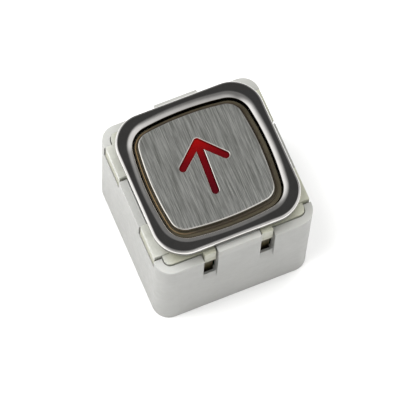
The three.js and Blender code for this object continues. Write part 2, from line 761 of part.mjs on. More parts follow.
function connectorHeader() {
  const top = BOARD_BOTTOM_Z - SEAT_GAP;
  const lockY = [-HEADER.y / 2, -HEADER.y / 2 + HEADER.lockThick];
  const base = block(centred(HEADER.x), centred(HEADER.y), [top - HEADER.base, top]);
  const lockWall = block(centred(HEADER.x), lockY, [top - HEADER.lockHeight, top]);
  const half = PIN.width / 2 + HOLE_CLEARANCE;
  const through = [top - HEADER.base - OVER, top + OVER];
  const holes = [...Array(PIN.count).keys()].map((index) => (
    block([pinX(index) - half, pinX(index) + half], [-half, half], through)
  ));
  return cutAll(base.add(lockWall), holes);
}

function headerPin() {
  return block(centred(PIN.width), centred(PIN.width), [PIN.bottomZ, BOARD_TOP_Z + PIN.top]);
}

// ---- Materials ----

function material(color, roughness, metalness = 0, opacity = 1) {
  return new THREE.MeshStandardMaterial({ color, roughness, metalness, opacity, transparent: opacity < 1 });
}

const whitePlastic = material(0xd9d9d3, 0.45);
const oliveTranslucent = material(0xb9bd8a, 0.35, 0, 0.85);
const polishedSteel = material(0x9a9894, 0.12, 1);
const brushedSteel = material(0x9a9a93, 0.38, 1);
const redTranslucent = material(0x9c0f18, 0.3);
const milkyPlastic = material(0xd8d3c0, 0.4, 0, 0.85);
const springSteel = material(0xa0a2a4, 0.3, 1);
const greenBoard = material(0x1f5a35, 0.5);
const blackPlastic = material(0x1c1c1e, 0.5);
const greyPlastic = material(0x55585c, 0.5);
const tinnedMetal = material(0xc4c2bb, 0.3, 1);
const redLens = material(0xc81e1e, 0.2, 0, 0.9);
const resistorBlue = material(0x7fa6b8, 0.5);
const ivoryPlastic = material(0xe8e2cf, 0.5);
const zincSteel = material(0xb5b7b8, 0.35, 1);

// ---- Assembly ----

function place(parent, name, solid, look, x = 0, y = 0) {
  const mesh = new THREE.Mesh(toGeometry(solid), look);
  mesh.name = name;
  mesh.position.set(x, y, 0);
  parent.add(mesh);
}

function placeAtCorners(parent, name, solid, look, offset) {
  CORNERS.forEach(([sx, sy], index) => {
    place(parent, `${name}_${index + 1}`, solid, look, sx * offset, sy * offset);
  });
}

function buttonGroup() {
  const group = new THREE.Group();
  place(group, 'pressel_plate', presselPlate(), brushedSteel, PRESSEL_SHIFT.x, PRESSEL_SHIFT.y);
  place(group, 'arrow_insert', arrowInsert(), redTranslucent, PRESSEL_SHIFT.x, PRESSEL_SHIFT.y);
  place(group, 'button_carrier', buttonCarrier(), milkyPlastic);
  return group;
}

function boardGroup() {
  const group = new THREE.Group();
  place(group, 'circuit_board', circuitBoard(), greenBoard);
  placeAtCorners(group, 'board_screw', boardScrew(), zincSteel, BOSS_OFFSET);
  placeAtCorners(group, 'led', led(), redLens, LED_OFFSET);
  RESISTOR_ROWS.forEach((y, index) => {
    place(group, `resistor_${index + 1}`, resistor(), resistorBlue, 0, y);
  });
  place(group, 'connector_header', connectorHeader(), ivoryPlastic, 0, CONNECTOR_Y);
  for (let index = 0; index < PIN.count; index += 1) {
    place(group, `header_pin_${index + 1}`, headerPin(), tinnedMetal, pinX(index), CONNECTOR_Y);
  }
  return group;
}

function switchGroup() {
  const group = new THREE.Group();
  place(group, 'switch_base', switchBase(), blackPlastic);
  place(group, 'switch_cover', switchCover(), greyPlastic);
  place(group, 'switch_plunger', switchPlunger(), redTranslucent);
  TERMINAL_X.forEach((x, index) => {
    place(group, `switch_terminal_${index + 1}`, switchTerminal(), tinnedMetal, x);
  });
  return group;
}

const pushButton = new THREE.Group();
place(pushButton, 'rear_housing', rearHousing(), whitePlastic);
place(pushButton, 'inner_frame', innerFrame(), oliveTranslucent);
place(pushButton, 'bezel_ring', bezelRing(), polishedSteel);
placeAtCorners(pushButton, 'return_spring', returnSpring(), springSteel, SPRING_OFFSET);
pushButton.add(buttonGroup(), boardGroup(), switchGroup());

export default pushButton;
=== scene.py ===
"""Looks for a square lift call push button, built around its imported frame.

Shapes are worked out in millimetres and written to Blender in metres, in the frame's own axes:
+Z out of the button's face, +Y the way the arrow points, and z = 0 the rear face.
"""

import math

import bmesh
import bpy
from mathutils import Matrix, Vector


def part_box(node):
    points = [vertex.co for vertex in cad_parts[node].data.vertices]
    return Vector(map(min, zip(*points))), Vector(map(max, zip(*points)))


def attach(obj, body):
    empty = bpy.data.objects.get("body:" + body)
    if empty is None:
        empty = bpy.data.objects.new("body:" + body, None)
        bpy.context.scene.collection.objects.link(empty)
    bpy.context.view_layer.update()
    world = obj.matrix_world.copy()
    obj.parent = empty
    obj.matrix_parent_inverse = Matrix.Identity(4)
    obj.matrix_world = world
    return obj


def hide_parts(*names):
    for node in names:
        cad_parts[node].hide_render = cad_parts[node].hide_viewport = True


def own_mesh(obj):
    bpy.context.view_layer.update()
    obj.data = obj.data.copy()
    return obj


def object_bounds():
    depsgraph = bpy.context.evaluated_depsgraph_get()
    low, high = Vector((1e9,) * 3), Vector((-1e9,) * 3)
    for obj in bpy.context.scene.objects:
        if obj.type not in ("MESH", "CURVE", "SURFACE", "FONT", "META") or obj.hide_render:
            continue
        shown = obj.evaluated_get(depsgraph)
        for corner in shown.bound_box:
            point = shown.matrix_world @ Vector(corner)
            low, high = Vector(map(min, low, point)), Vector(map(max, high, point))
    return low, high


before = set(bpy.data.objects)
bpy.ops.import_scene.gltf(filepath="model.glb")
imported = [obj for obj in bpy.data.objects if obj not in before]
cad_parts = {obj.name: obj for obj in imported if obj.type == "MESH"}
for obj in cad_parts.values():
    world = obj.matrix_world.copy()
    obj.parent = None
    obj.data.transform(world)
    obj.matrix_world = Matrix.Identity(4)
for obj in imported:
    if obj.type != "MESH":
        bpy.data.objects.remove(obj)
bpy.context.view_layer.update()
MM = 0.001


def box_mm(node):
    low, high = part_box(node)
    return low / MM, high / MM


# ---- Sizes taken from the frame ----

PRESSEL_LOW, PRESSEL_HIGH = box_mm("pressel_plate")
BEZEL_LOW, BEZEL_HIGH = box_mm("bezel_ring")
ARROW_LOW, ARROW_HIGH = box_mm("arrow_insert")
FACE_Z = PRESSEL_HIGH.z
PRESSEL_HALF = (PRESSEL_HIGH.x - PRESSEL_LOW.x) / 2
PRESSEL_CENTRE = ((PRESSEL_HIGH + PRESSEL_LOW) / 2).to_2d()
BEZEL_HALF = BEZEL_HIGH.x
FLANGE_Z = BEZEL_HIGH.z
COLLAR_BOTTOM_Z = BEZEL_LOW.z

# ---- Sizes of the fine surfaces, millimetres ----

PRESSEL_CORNER = 4
PRESSEL_SIDE_RADIUS = 70
PRESSEL_EDGE = 0.42
PRESSEL_EDGE_STEPS = 4
PRESSEL_FOOT = 0.1
CHANNEL = 1.75
LIT_EDGE = (0.42, 0.66)  # the rib's inner and outer distance from the pressel's side
LIT_EDGE_HIGH = 0.46
COLLAR_THICK = 0.5
ROLL_WIDTH = 1.8
ROLL_SWEEP = math.radians(38)
ROLL_STEPS = 12
BEZEL_CORNER = 8
BEZEL_EDGE = 0.64
BEZEL_EDGE_STEPS = 7
BEZEL_THICK = 1.9
BEZEL_FOOT = 0.18  # size of the rounding along the underside and the collar's end
BEZEL_LAND = 0.12  # flat strip kept beside the rounded edge and beside the roll
SIDE_STEPS = 14
CORNER_STEPS = 20
FLAT = 0.9999  # faces whose normal is this upright stay flat

OUTER_WALL = 17.6  # the frame's walls are further out than this, along x or y
FRAME_GROW = 0.2

ARROW_TIP = Vector((0, 6.75))
ARROW_TAIL = Vector((0, -6.55))
ARM_REACH = 5.5
STROKE_RADIUS = 0.88
INSERT_RADIUS = 0.83
ARROW_FILLET = 0.12
ARROW_LEAN = math.radians(-3)
ARROW_CHAMFER = 0.2
ARROW_SUNK = 0.25  # how far the insert lies below its top in the frame

COIL_RADIUS = 1.55
WIRE_RADIUS = 0.2
COIL_TURNS = 6
COIL_STEPS = 26
WIRE_SIDES = 8
COIL_END = 0.09  # share of the wire that lies flat at each end

# Heights and distances at which the plastics' painted light and painted shade change
PAINTED_LIGHT_FROM_Z = 31.0
PAINTED_SHADE_BELOW_Z = 26.5
PAINTED_SHADE_FADE = 2


# ---- Outlines: closed lists of (x, y) with matching points ----


def arc(centre, radius, start, end, steps):
    angles = [start + (end - start) * i / steps for i in range(steps + 1)]
    return [Vector((centre[0] + radius * math.cos(a), centre[1] + radius * math.sin(a))) for a in angles]


def four_turns(quarter):
    """One side and corner, repeated round the four sides."""
    points = []
    for turn in range(4):
        rotation = Matrix.Rotation(turn * math.pi / 2, 2)
        points += [rotation @ p for p in quarter]
    return points


def rounded_square(half, corner):
    inner = half - corner
    side = [Vector((half, -inner + 2 * inner * i / SIDE_STEPS)) for i in range(SIDE_STEPS)]
    return four_turns(side + arc((inner, inner), corner, 0, math.pi / 2, CORNER_STEPS)[:-1])


def soft_square(offset):
    """A rounded square with shallow outward arcs for sides, grown by offset."""
    half, corner = PRESSEL_HALF + offset, PRESSEL_CORNER + offset
    radius = PRESSEL_SIDE_RADIUS + offset
    middle = half - radius
    reach = radius - corner
    centre = (middle + math.sqrt(2 * reach * reach - middle * middle)) / 2
    spread = math.asin(centre / reach)
    side = arc((middle, 0), radius, -spread, spread, SIDE_STEPS)[:-1]
    return four_turns(side + arc((centre, centre), corner, spread, math.pi / 2 - spread, CORNER_STEPS)[:-1])


def arrow_outline(radius):
    """The outline of the arrow's three round-ended strokes, counter-clockwise from the tip's right."""
    quarter = math.pi / 4
    join = ARROW_TIP.y - radius * (1 + math.sqrt(2))
    fillet_y = join - ARROW_FILLET / math.sin(quarter / 2) * math.cos(quarter / 2)
    fillet_x = radius + ARROW_FILLET
    left_end = Vector((-ARM_REACH, ARROW_TIP.y - ARM_REACH))
    right_end = Vector((ARM_REACH, ARROW_TIP.y - ARM_REACH))
    points = arc(ARROW_TIP, radius, quarter, 3 * quarter, 6)
    points += arc(left_end, radius, 3 * quarter, 7 * quarter, 12)
    points += arc((-fillet_x, fillet_y), ARROW_FILLET, quarter, 0, 4)
    points += arc(ARROW_TAIL, radius, math.pi, 2 * math.pi, 12)
    points += arc((fillet_x, fillet_y), ARROW_FILLET, math.pi, 3 * quarter, 4)
    points += arc(right_end, radius, 5 * quarter, 9 * quarter, 12)
    lean = Matrix.Rotation(ARROW_LEAN, 2)
    return [lean @ p for p in points]


# ---- Mesh building ----


def new_piece(name, mesh, body, material):
    piece = bpy.data.objects.new(name, mesh)
    bpy.context.scene.collection.objects.link(piece)
    mesh.materials.clear()
    mesh.materials.append(material)
    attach(piece, body)
    return piece


def mesh_from(bm, name, smooth_angle=35):
    bmesh.ops.recalc_face_normals(bm, faces=bm.faces)
    mesh = bpy.data.meshes.new(name)
    bm.to_mesh(mesh)
    bm.free()
    mesh.set_sharp_from_angle(angle=math.radians(smooth_angle))
    for polygon in mesh.polygons:
        polygon.use_smooth = abs(polygon.normal.z) < FLAT
    return mesh


def add_ring(bm, outline, z, shift=(0, 0)):
    return [bm.verts.new(((p.x + shift[0]) * MM, (p.y + shift[1]) * MM, z * MM)) for p in outline]


def bridge(bm, ring, following):
    count = len(ring)
    for i in range(count):
        j = (i + 1) % count
        bm.faces.new((ring[i], ring[j], following[j], following[i]))


def loft(bm, sections, shift=(0, 0), closed=False):
    """Joins outlines of matching points, each given as (outline, z)."""
    rings = [add_ring(bm, outline, z, shift) for outline, z in sections]
    for ring, following in zip(rings, rings[1:]):
        bridge(bm, ring, following)
    if closed:
        bridge(bm, rings[-1], rings[0])
    return rings


def fill(bm, *rings):
    """Fills the flat area bounded by one outline, or between two."""
    edges = [bm.edges.get((ring[i - 1], ring[i])) for ring in rings for i in range(len(ring))]
    bmesh.ops.triangle_fill(bm, use_beauty=True, use_dissolve=False, edges=edges)


def quarter_round(steps):
    """Points of a quarter circle of radius 1 as (inset, rise), from the side up to the top."""
    angles = [math.pi / 2 * i / steps for i in range(steps + 1)]
    return [(1 - math.cos(a), math.sin(a)) for a in angles]


# ---- Bezel: a flat flange with rounded outer edge, bent down into a collar ----


def bezel_mesh():
    """The ring as one closed band: underside, outer edge, top, roll and collar."""
    under = FLANGE_Z - BEZEL_THICK
    foot = BEZEL_FOOT

    def outer(inset, z):
        return rounded_square(BEZEL_HALF - inset, BEZEL_CORNER - inset), z

    def inner(offset, z):
        return soft_square(CHANNEL + offset), z

    sections = [outer(foot, under), outer(0.05, under + foot * 0.4), outer(0, under + foot * 1.4)]
    rim = FLANGE_Z - BEZEL_EDGE
    for inset, rise in quarter_round(BEZEL_EDGE_STEPS):
        sections += [outer(BEZEL_EDGE * inset, rim + BEZEL_EDGE * rise)]
    sections += [outer(BEZEL_EDGE + BEZEL_LAND, FLANGE_Z)]
    sections += [inner(ROLL_WIDTH + BEZEL_LAND, FLANGE_Z)]
    radius = ROLL_WIDTH / math.sin(ROLL_SWEEP)
    for step in range(ROLL_STEPS + 1):
        tilt = ROLL_SWEEP * step / ROLL_STEPS
        sections += [inner(ROLL_WIDTH - radius * math.sin(tilt), FLANGE_Z - radius * (1 - math.cos(tilt)))]
    lip = FLANGE_Z - radius * (1 - math.cos(ROLL_SWEEP))
    sections += [inner(-0.04, lip - 0.08), inner(-0.05, lip - 0.2)]
    sections += [inner(0, COLLAR_BOTTOM_Z + foot), inner(0.06, COLLAR_BOTTOM_Z)]
    sections += [inner(COLLAR_THICK - 0.06, COLLAR_BOTTOM_Z), inner(COLLAR_THICK, COLLAR_BOTTOM_Z + foot)]
    sections += [inner(COLLAR_THICK, under - foot), inner(COLLAR_THICK + foot, under)]
    bm = bmesh.new()
    loft(bm, sections, closed=True)
    return mesh_from(bm, "bezel", 60)


# ---- Pressel plate with its cut arrow, and the insert that fills it ----


def pressel_mesh():
    """The face plate with a rounded edge and a chamfered hole for the arrow."""
    bottom = PRESSEL_LOW.z
    chamfer = ARROW_CHAMFER
    bm = bmesh.new()
    outer = [(soft_square(-PRESSEL_FOOT), bottom), (soft_square(0), bottom + PRESSEL_FOOT)]
    outer += [
        (soft_square(-PRESSEL_EDGE * inset), FACE_Z - PRESSEL_EDGE * (1 - rise))
        for inset, rise in quarter_round(PRESSEL_EDGE_STEPS)
    ]
    hole = [(arrow_outline(STROKE_RADIUS), bottom), (arrow_outline(STROKE_RADIUS), FACE_Z - chamfer)]
    hole += [(arrow_outline(STROKE_RADIUS + chamfer * 0.45), FACE_Z - chamfer * 0.42)]
    hole += [(arrow_outline(STROKE_RADIUS + chamfer), FACE_Z)]
    outer_rings = loft(bm, outer, PRESSEL_CENTRE)
    hole_rings = loft(bm, hole, PRESSEL_CENTRE)
    fill(bm, outer_rings[-1], hole_rings[-1])
    fill(bm, outer_rings[0], hole_rings[0])
    return mesh_from(bm, "pressel", 50)


def lit_edge_mesh():
    """A low rib along the channel's floor, close to the pressel."""
    low = PRESSEL_LOW.z - 0.1
    shoulder = low + LIT_EDGE_HIGH - 0.1
    near, far = LIT_EDGE
    middle = (near + far) / 2
    sections = [(far, low), (far, shoulder), (middle, low + LIT_EDGE_HIGH), (near, shoulder), (near, low)]
    bm = bmesh.new()
    loft(bm, [(soft_square(offset), z) for offset, z in sections], PRESSEL_CENTRE, closed=True)
    return mesh_from(bm, "lit_edge", 50)


def insert_mesh():
    """The arrow's insert, with a slightly domed top."""
    top = ARROW_HIGH.z - ARROW_SUNK
    sections = [(INSERT_RADIUS, ARROW_LOW.z), (INSERT_RADIUS, top - 0.14), (INSERT_RADIUS - 0.04, top - 0.06)]
    sections += [(INSERT_RADIUS - 0.12, top - 0.02), (INSERT_RADIUS - 0.3, top), (0.15, top)]
    bm = bmesh.new()
    rings = loft(bm, [(arrow_outline(radius), z) for radius, z in sections], PRESSEL_CENTRE)
    fill(bm, rings[0])
    fill(bm, rings[-1])
    return mesh_from(bm, "arrow", 50)


# ---- Pieces refined from the frame's own solids ----


def clean_copy(node):
    """The node's solid as one welded mesh with its flat areas merged."""
    bm = bmesh.new()
    bm.from_mesh(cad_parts[node].data)
    bmesh.ops.remove_doubles(bm, verts=bm.verts, dist=0.002 * MM)
    bmesh.ops.dissolve_limit(
        bm, angle_limit=math.radians(1.5), verts=bm.verts, edges=bm.edges, use_dissolve_boundaries=False
    )
    mesh = bpy.data.meshes.new(node)
    bm.to_mesh(mesh)
    bm.free()
    for name in ("custom_normal", "sharp_edge", "sharp_face"):
        if name in mesh.attributes:
            mesh.attributes.remove(mesh.attributes[name])
    mesh.shade_smooth()
    return mesh


def bevelled(node, width, segments=2, angle=32, grow=0):
    """The node's solid with its sharp edges rounded to width and its outer walls moved out by grow."""
    solid = clean_copy(node)
    for vertex in solid.vertices:
        for axis in range(2):
            if abs(vertex.co[axis]) > OUTER_WALL * MM:
                vertex.co[axis] += math.copysign(grow * MM, vertex.co[axis])
    scratch = bpy.data.objects.new("scratch", solid)
    bpy.context.scene.collection.objects.link(scratch)
    bevel = scratch.modifiers.new("edges", "BEVEL")
    bevel.width = width * MM
    bevel.segments = segments
    bevel.limit_method = "ANGLE"
    bevel.angle_limit = math.radians(angle)
    bevel.miter_outer = "MITER_ARC"
    bevel.use_clamp_overlap = True
    weighted = scratch.modifiers.new("normals", "WEIGHTED_NORMAL")
    weighted.weight = 100
    weighted.keep_sharp = True
    bpy.context.view_layer.update()
    evaluated = scratch.evaluated_get(bpy.context.evaluated_depsgraph_get())
    mesh = bpy.data.meshes.new_from_object(evaluated)
    bpy.data.objects.remove(scratch)
    return mesh


# ---- Springs ----


def spring_mesh(centre, low, high):
    """A coil of round wire from low to high, with closed ends."""
    wire = WIRE_RADIUS
    count = COIL_TURNS * COIL_STEPS
    upward = Vector((0, 0, 1))
    bm = bmesh.new()
    rings = []
    for i in range(count + 1):
        along = i / count
        angle = along * COIL_TURNS * 2 * math.pi
        climb = min(1, max(0, (along - COIL_END) / (1 - 2 * COIL_END)))
        z = low + wire + (high - low - 2 * wire) * climb
        out = Vector((math.cos(angle), math.sin(angle), 0))
        middle = Vector((centre.x, centre.y, 0)) + out * COIL_RADIUS + upward * z
        ring = []
        for k in range(WIRE_SIDES):
            a = 2 * math.pi * k / WIRE_SIDES
            ring.append(bm.verts.new((middle + (out * math.cos(a) + upward * math.sin(a)) * wire) * MM))
        rings.append(ring)
    for ring, following in zip(rings, rings[1:]):
        bridge(bm, ring, following)
    bm.faces.new(rings[0])
    bm.faces.new(rings[-1])
    return mesh_from(bm, "spring", 60)


# ---- Materials ----


class Look:
    """A procedural material being put together on one shader."""

    def __init__(self, name, **values):
        self.material = bpy.data.materials.new(name)
        self.material.use_nodes = True
        self.nodes = self.material.node_tree.nodes
        self.links = self.material.node_tree.links
        self.shader = self.nodes["Principled BSDF"]
        self.coordinates = self.nodes.new("ShaderNodeTexCoord")
        for socket, value in values.items():
            self.shader.inputs[socket.replace("_", " ")].default_value = value

    def place(self, scale=(1, 1, 1), turn=0):
        """Object coordinates in millimetres, scaled and turned about Z."""
        mapping = self.nodes.new("ShaderNodeMapping")
        mapping.inputs["Scale"].default_value = [s / MM for s in scale]
        mapping.inputs["Rotation"].default_value = (0, 0, turn)
        self.links.new(self.coordinates.outputs["Object"], mapping.inputs["Vector"])
        return mapping.outputs["Vector"]

    def noise(self, size, stretch=(1, 1, 1), detail=3, roughness=0.5, turn=0):
        """Noise with features about size millimetres across, longer along the stretched axes."""
        texture = self.nodes.new("ShaderNodeTexNoise")
        texture.inputs["Scale"].default_value = 1
        texture.inputs["Detail"].default_value = detail
        texture.inputs["Roughness"].default_value = roughness
        scale = [1 / (size * s) for s in stretch]
        self.links.new(self.place(scale, turn), texture.inputs["Vector"])
        return texture.outputs["Fac"]

    def ramp(self, value, stops):
        """value turned into colours or levels by [(position, colour or level), ...]."""
        ramp = self.nodes.new("ShaderNodeValToRGB")
        elements = ramp.color_ramp.elements
        while len(elements) < len(stops):
            elements.new(0.5)
        for element, (position, level) in zip(elements, stops):
            element.position = position
            element.color = (*level, 1) if isinstance(level, tuple) else (level, level, level, 1)
        self.links.new(value, ramp.inputs["Fac"])
        return ramp.outputs["Color"]

    def mix(self, kind, amount, first, second):
        """first and second mixed as colours; amount is a number or a socket."""
        node = self.nodes.new("ShaderNodeMix")
        node.data_type = "RGBA"
        node.blend_type = kind
        sockets = (node.inputs[0], node.inputs[6], node.inputs[7])
        for socket, value in zip(sockets, (amount, first, second)):
            if isinstance(value, bpy.types.NodeSocket):
                self.links.new(value, socket)
            else:
                socket.default_value = (*value, 1) if isinstance(value, tuple) else value
        return node.outputs[2]

    def axis(self, name):
        """One object coordinate, in millimetres."""
        split = self.nodes.new("ShaderNodeSeparateXYZ")
        self.links.new(self.place(), split.inputs[0])
        return split.outputs[name]

    def math(self, operation, first, second=0.0):
        """The operation on one or two values, each a number or a socket."""
        node = self.nodes.new("ShaderNodeMath")
        node.operation = operation
        for socket, value in zip(node.inputs, (first, second)):
            if isinstance(value, bpy.types.NodeSocket):
                self.links.new(value, socket)
            else:
                socket.default_value = value
        return node.outputs[0]

    def set(self, socket, value):
        """Feeds one of the shader's sockets."""
        self.links.new(value, self.shader.inputs[socket])
        return self

    def bump(self, height, depth, strength=1.0):
        """Surface relief of depth millimetres from a 0 to 1 height."""
        node = self.nodes.new("ShaderNodeBump")
        node.inputs["Distance"].default_value = depth * MM
        node.inputs["Strength"].default_value = strength
        self.links.new(height, node.inputs["Height"])
        self.links.new(node.outputs["Normal"], self.shader.inputs["Normal"])
        return self


def painted_light_top_left(look, low, high, left, start, end):
    """Painted light: a tone for low down, for high up, and for high up on the left, painted paler where light
    falls on the top and the left side.
    """
    height = look.ramp(look.math("SUBTRACT", look.axis("Z"), PAINTED_LIGHT_FROM_Z), [(0.0, 0.0), (1.0, 1.0)])
    side = look.ramp(look.math("MULTIPLY", look.axis("X"), -1 / BEZEL_HALF), [(start, high), (end, left)])
    return look.mix("MIX", height, low, side)


def painted_shade_deep_down(look):
    """Painted shade: a tone that darkens deep inside the housing, where little light reaches."""
    height = look.math("SUBTRACT", look.axis("Z"), PAINTED_SHADE_BELOW_Z)
    share = look.math("MULTIPLY", height, 1 / PAINTED_SHADE_FADE)
    return look.ramp(share, [(0.0, (0.3, 0.25, 0.17)), (1.0, (1.0, 1.0, 1.0))])


def moulded(name, dark, light, rough=(0.3, 0.42), grain=0.012, painted_light_and_shade=None, **values):
    """Moulded plastic: faint clouding, a satin grain, dull patches from handling, and, when given, painted
    light and shade by height and side.
    """
    look = Look(name, **values)
    clouds = look.noise(7, detail=4)
    grime = look.noise(1.6, detail=5, roughness=0.65)
    tone = look.ramp(look.mix("MIX", 0.35, clouds, grime), [(0.3, dark), (0.62, light)])
    look.set("Base Color", look.mix("MULTIPLY", 1.0, tone, painted_light_top_left(look, *painted_light_and_shade)) if painted_light_and_shade else tone)
    look.set("Roughness", look.ramp(grime, [(0.3, rough[0]), (0.7, rough[1])]))
    return look.bump(look.noise(0.14, detail=2), grain).material


def steel(name, colour, worn, rough, lines=0.05, painted_shade_below=None, **values):
    """Polished or plain steel: a wiped haze, hairline scratches and painted shade below one height, standing
    in for the dark gap that the side reflects.
    """
    look = Look(name, Metallic=1.0, **values)
    haze = look.noise(5, detail=5, roughness=0.6)
    hairs = look.noise(0.05, stretch=(1, 30, 1), detail=2, turn=0.7)
    tone = look.ramp(look.mix("MIX", 0.3, haze, hairs), [(0.35, worn), (0.6, colour)])
    if painted_shade_below is not None:
        depth = look.math("MULTIPLY", look.math("SUBTRACT", painted_shade_below, look.axis("Z")), 5)
        tone = look.mix("MULTIPLY", 1.0, tone, look.ramp(depth, [(0.0, 1.0), (1.0, 0.32)]))
    look.set("Base Color", tone)
    look.set("Roughness", look.ramp(look.mix("MIX", 0.4, haze, hairs), [(0.3, rough[0]), (0.7, rough[1])]))
    return look.bump(hairs, lines * 0.02).material


def brushed_steel(name, turn):
    """Steel with short fine brushed lines on its face, and polished on the edges below it."""
    look = Look(name, Metallic=1.0)
    fine = look.noise(0.09, stretch=(1, 60, 60), detail=3, roughness=0.6, turn=turn)
    medium = look.noise(0.33, stretch=(1, 22, 22), detail=3, roughness=0.7, turn=turn)
    broad = look.noise(4.0, stretch=(1, 3, 3), detail=2, turn=turn)
    lines = look.mix("MIX", 0.75, fine, medium)
    greys = [(0.36, (0.32, 0.32, 0.30)), (0.5, (0.60, 0.605, 0.58)), (0.64, (0.95, 0.955, 0.92))]
    cast = look.ramp(broad, [(0.35, (0.95, 0.955, 0.94)), (0.65, (1.0, 1.0, 0.99))])
    face = look.mix("MULTIPLY", 1.0, look.ramp(lines, greys), cast)
    satin = look.ramp(lines, [(0.3, 0.56), (0.7, 0.44)])
    depth = look.math("SUBTRACT", FACE_Z - 0.01, look.axis("Z"))
    polish = look.ramp(look.math("MULTIPLY", depth, 20), [(0.0, 0.0), (1.0, 1.0)])
    look.set("Base Color", look.mix("MIX", polish, face, (0.80, 0.77, 0.72)))
    look.set("Roughness", look.mix("MIX", polish, satin, (0.2, 0.2, 0.2)))
    return look.bump(lines, 0.012).material


def translucent(name, dark, light, transmission, rough=(0.28, 0.4), painted_light_and_shade=None):
    """Tinted plastic that lets some light through, with faint flow marks, and, when given, painted light high
    up and on the left and painted shade low down.
    """
    look = Look(name, Transmission_Weight=transmission, IOR=1.49)
    flow = look.noise(3, stretch=(1, 1, 2.5), detail=4)
    specks = look.noise(0.5, detail=4)
    tone = look.ramp(look.mix("MIX", 0.3, flow, specks), [(0.32, dark), (0.64, light)])
    if painted_light_and_shade:
        tone = look.mix("MULTIPLY", 1.0, tone, painted_light_top_left(look, *painted_light_and_shade))
        tone = look.mix("MULTIPLY", 1.0, tone, painted_shade_deep_down(look))
    look.set("Base Color", tone)
    look.set("Roughness", look.ramp(specks, [(0.3, rough[0]), (0.7, rough[1])]))
    return look.bump(look.noise(0.2, detail=2), 0.01).material


def board_material():
    """Green solder mask over copper tracks, with the weave of the laminate showing faintly."""
    look = Look("circuit_board_mask", Coat_Weight=0.3)
    weave = look.noise(0.35, stretch=(3, 1, 1), detail=2)
    tracks = look.nodes.new("ShaderNodeTexVoronoi")
    tracks.feature = "DISTANCE_TO_EDGE"
    tracks.distance = "MANHATTAN"
    tracks.inputs["Scale"].default_value = 1
    look.links.new(look.place((0.22, 0.22, 0.22)), tracks.inputs["Vector"])
    copper = look.ramp(tracks.outputs["Distance"], [(0.05, 1.0), (0.07, 0.0)])
    mask = look.ramp(weave, [(0.3, (0.008, 0.07, 0.03)), (0.7, (0.014, 0.11, 0.045))])
    look.set("Base Color", look.mix("MIX", copper, mask, (0.03, 0.2, 0.07)))
    look.set("Roughness", look.ramp(weave, [(0.3, 0.3), (0.7, 0.42)]))
    return look.bump(copper, 0.03).material


def resistor_material():
    """A blue-grey lacquered body with colour bands, and tinned leads."""
    look = Look("resistor_lacquer")
    along = look.math("ADD", look.math("DIVIDE", look.axis("X"), 10.0), 0.5)
    lead, body = (0.6, 0.6, 0.58), (0.19, 0.36, 0.45)
    brown, black, red, gold = (0.2, 0.05, 0.02), (0.01, 0.01, 0.01), (0.5, 0.02, 0.02), (0.5, 0.32, 0.05)
    stops = [(0.0, lead), (0.3, body)]
    for start, colour in ((0.36, brown), (0.45, black), (0.53, red), (0.63, gold)):
        stops += [(start, colour), (start + 0.03, body)]
    stops += [(0.7, lead)]
    bands = look.ramp(along, stops)
    bands.node.color_ramp.interpolation = "CONSTANT"
    speck = look.ramp(look.noise(0.4), [(0.3, (0.85, 0.85, 0.85)), (0.7, (1, 1, 1))])
    look.set("Base Color", look.mix("MULTIPLY", 1.0, bands, speck))
    look.set("Roughness", look.ramp(look.noise(0.6), [(0.3, 0.3), (0.7, 0.5)]))
    return look.bump(look.noise(0.3), 0.02).material


def arrow_material():
    """Deep red resin, brighter towards the head and darker towards the tail."""
    look = Look("arrow_red", Specular_IOR_Level=0.06)
    clouds = look.noise(1.6, detail=4, roughness=0.6)
    # a share that grows along the arrow from the tail to the head
    depth = look.math("MULTIPLY_ADD", look.axis("Y"), 0.07)
    depth.node.inputs[2].default_value = 0.5
    patchy = look.ramp(clouds, [(0.3, (0.8, 0.8, 0.8)), (0.7, (1.0, 1.0, 1.0))])
    reds = [(0.05, (0.045, 0.0006, 0.003)), (0.7, (0.08, 0.0006, 0.002)), (1.0, (0.17, 0.0012, 0.001))]
    look.set("Base Color", look.mix("MULTIPLY", 1.0, look.ramp(depth, reds), patchy))
    look.set("Roughness", look.ramp(clouds, [(0.3, 0.3), (0.7, 0.46)]))
    return look.bump(look.noise(0.25, detail=3), 0.02).material


# Each painted light and shade is (low tone, high tone, left tone, start and end of the change to the left
# one): painted shade low down, painted light high up and on the left.
# Painted light: the white housing is paler high up and paler still on the left, where light falls.
WHITE = moulded(
    "white_moulding", (0.38, 0.383, 0.365), (0.425, 0.427, 0.41), (0.34, 0.48),
    painted_light_and_shade=((0.69, 0.685, 0.68), (0.76, 0.755, 0.745), (0.92, 0.92, 0.92), 0.65, 0.95),
    Subsurface_Weight=0.08,
)
WHITE.node_tree.nodes["Principled BSDF"].inputs["Subsurface Radius"].default_value = (0.002, 0.002, 0.0016)
# Painted light and shade: the olive frame is paler high up and on the left, and darker deep down where shade
# falls.
OLIVE = translucent(
    "olive_plastic", (0.56, 0.565, 0.53), (0.70, 0.705, 0.67), 0.3,
    painted_light_and_shade=((0.58, 0.575, 0.44), (0.74, 0.735, 0.62), (0.86, 0.86, 0.82), 0.82, 0.96),
)
# Painted light: the rib is golden only on the left, where light falls, and painted dark elsewhere.
GOLDEN = moulded(
    "golden_edge_painted_lit_left", (0.16, 0.105, 0.048), (0.24, 0.17, 0.09), (0.3, 0.42),
    painted_light_and_shade=((0.2, 0.22, 0.28), (0.2, 0.22, 0.28), (1.0, 1.0, 1.0), 0.45, 0.8),
)
# The carrier's dark brown is partly its own tone and partly painted shade of the deep channel around it.
CHANNEL_BROWN_AND_SHADE = moulded("channel_brown_and_painted_shade", (0.026, 0.021, 0.012), (0.048, 0.040, 0.024), (0.3, 0.45))
